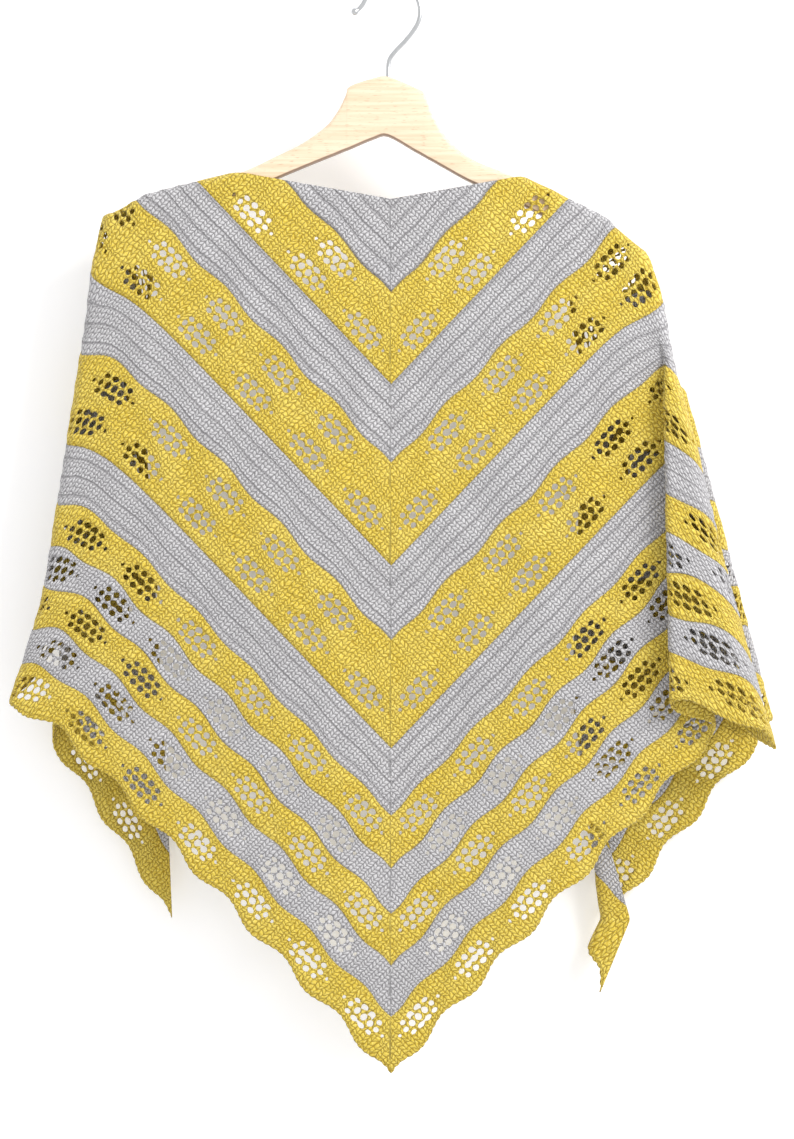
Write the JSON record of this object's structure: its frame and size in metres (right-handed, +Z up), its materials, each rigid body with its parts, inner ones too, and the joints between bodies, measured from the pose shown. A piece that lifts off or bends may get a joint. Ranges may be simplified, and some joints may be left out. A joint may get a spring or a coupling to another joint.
{
  "type": "crochet shawl on a clothes hanger",
  "caption": "Triangular crochet shawl in yellow and grey chevron bands with lace eyelets and a scalloped hem, draped over a wooden hanger with a wire hook.",
  "frame": {"origin": "inner top of the hanger's hook, where it hangs on a rail", "axes": "+Z up, +X to the right as seen from the front, +Y towards the back, where the two wings hang"},
  "size_m": [0.6212, 0.0819, 0.8839],
  "materials": {
    "yellow_yarn": "mustard yellow wool-like crochet yarn, matt",
    "grey_yarn": "light grey wool-like crochet yarn, matt",
    "wood": "pale beech-like wood, satin",
    "steel": "bright steel wire"
  },
  "bodies": {
    "root": {"band_01_grey": "grey_yarn", "band_02_yellow": "yellow_yarn", "band_03_grey": "grey_yarn", "band_04_yellow": "yellow_yarn", "band_05_grey": "grey_yarn", "band_06_yellow": "yellow_yarn", "band_07_grey": "grey_yarn", "band_08_yellow": "yellow_yarn", "band_09_grey": "grey_yarn", "band_10_yellow": "yellow_yarn", "band_11_grey": "grey_yarn", "band_12_yellow_hem": "yellow_yarn", "hanger_body": "wood", "hanger_hook": "steel"}
  },
  "joints": []
}
